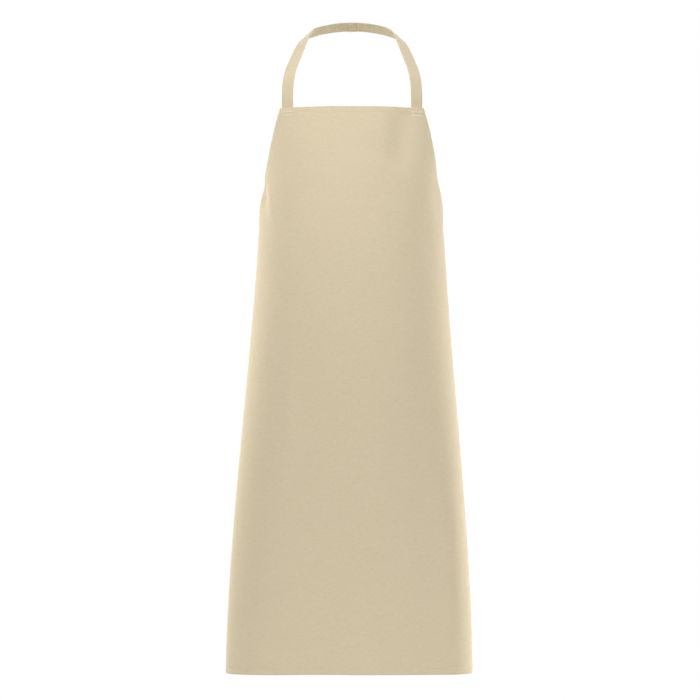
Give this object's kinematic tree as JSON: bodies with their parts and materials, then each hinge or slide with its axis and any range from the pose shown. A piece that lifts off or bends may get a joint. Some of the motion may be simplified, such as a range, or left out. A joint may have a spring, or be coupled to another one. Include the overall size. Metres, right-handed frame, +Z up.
{
  "type": "bib apron",
  "caption": "Bib apron of plain beige cotton canvas, wrapped as it is worn, with turned hems, a sewn neck strap seamed at the nape and waist ties that hang loose behind.",
  "frame": {"origin": "lower edge of the neck strap at the middle of the nape, where a neck or a hook carries the apron", "axes": "+X to the right as the front is faced, -Y towards the viewer of the front, +Z up; left and right in node names are as the front is faced"},
  "size_m": [0.4852, 0.2282, 1.2913],
  "materials": {
    "canvas": "matte plain-weave cotton canvas",
    "thread": "spun sewing thread"
  },
  "bodies": {
    "neck_strap": {"neck_strap_left": "canvas", "neck_strap_right": "canvas", "nape_seam_allowance": "canvas", "nape_seam_stitching": "thread"},
    "apron": {"apron_panel": "canvas", "bib_top_hem": "canvas", "bib_top_stitching": "thread", "bottom_hem": "canvas", "bottom_stitching": "thread", "armhole_hem_left": "canvas", "armhole_stitching_left": "thread", "side_hem_left": "canvas", "side_stitching_left": "thread", "neck_strap_end_left": "canvas", "neck_strap_bar_tack_left": "thread", "waist_tie_end_left": "canvas", "waist_tie_bar_tack_left": "thread", "armhole_hem_right": "canvas", "armhole_stitching_right": "thread", "side_hem_right": "canvas", "side_stitching_right": "thread", "neck_strap_end_right": "canvas", "neck_strap_bar_tack_right": "thread", "waist_tie_end_right": "canvas", "waist_tie_bar_tack_right": "thread"},
    "tie_left": {"waist_tie_left": "canvas"},
    "tie_right": {"waist_tie_right": "canvas"}
  },
  "joints": [
    {"name": "strap_bend", "type": "hinge", "parent": "neck_strap", "child": "apron", "pos_m": [0, -0.1461, -0.176], "axis": [1, 0, 0], "range_deg": [-60, 80]},
    {"name": "tie_bend_left", "type": "hinge", "parent": "apron", "child": "tie_left", "pos_m": [-0.07466, -0.01995, -0.4715], "axis": [0.969, 0.2469, 0], "range_deg": [-8, 90]},
    {"name": "tie_bend_right", "type": "hinge", "parent": "apron", "child": "tie_right", "pos_m": [0.07466, -0.01995, -0.4715], "axis": [0.969, -0.2469, 0], "range_deg": [-8, 90]}
  ]
}
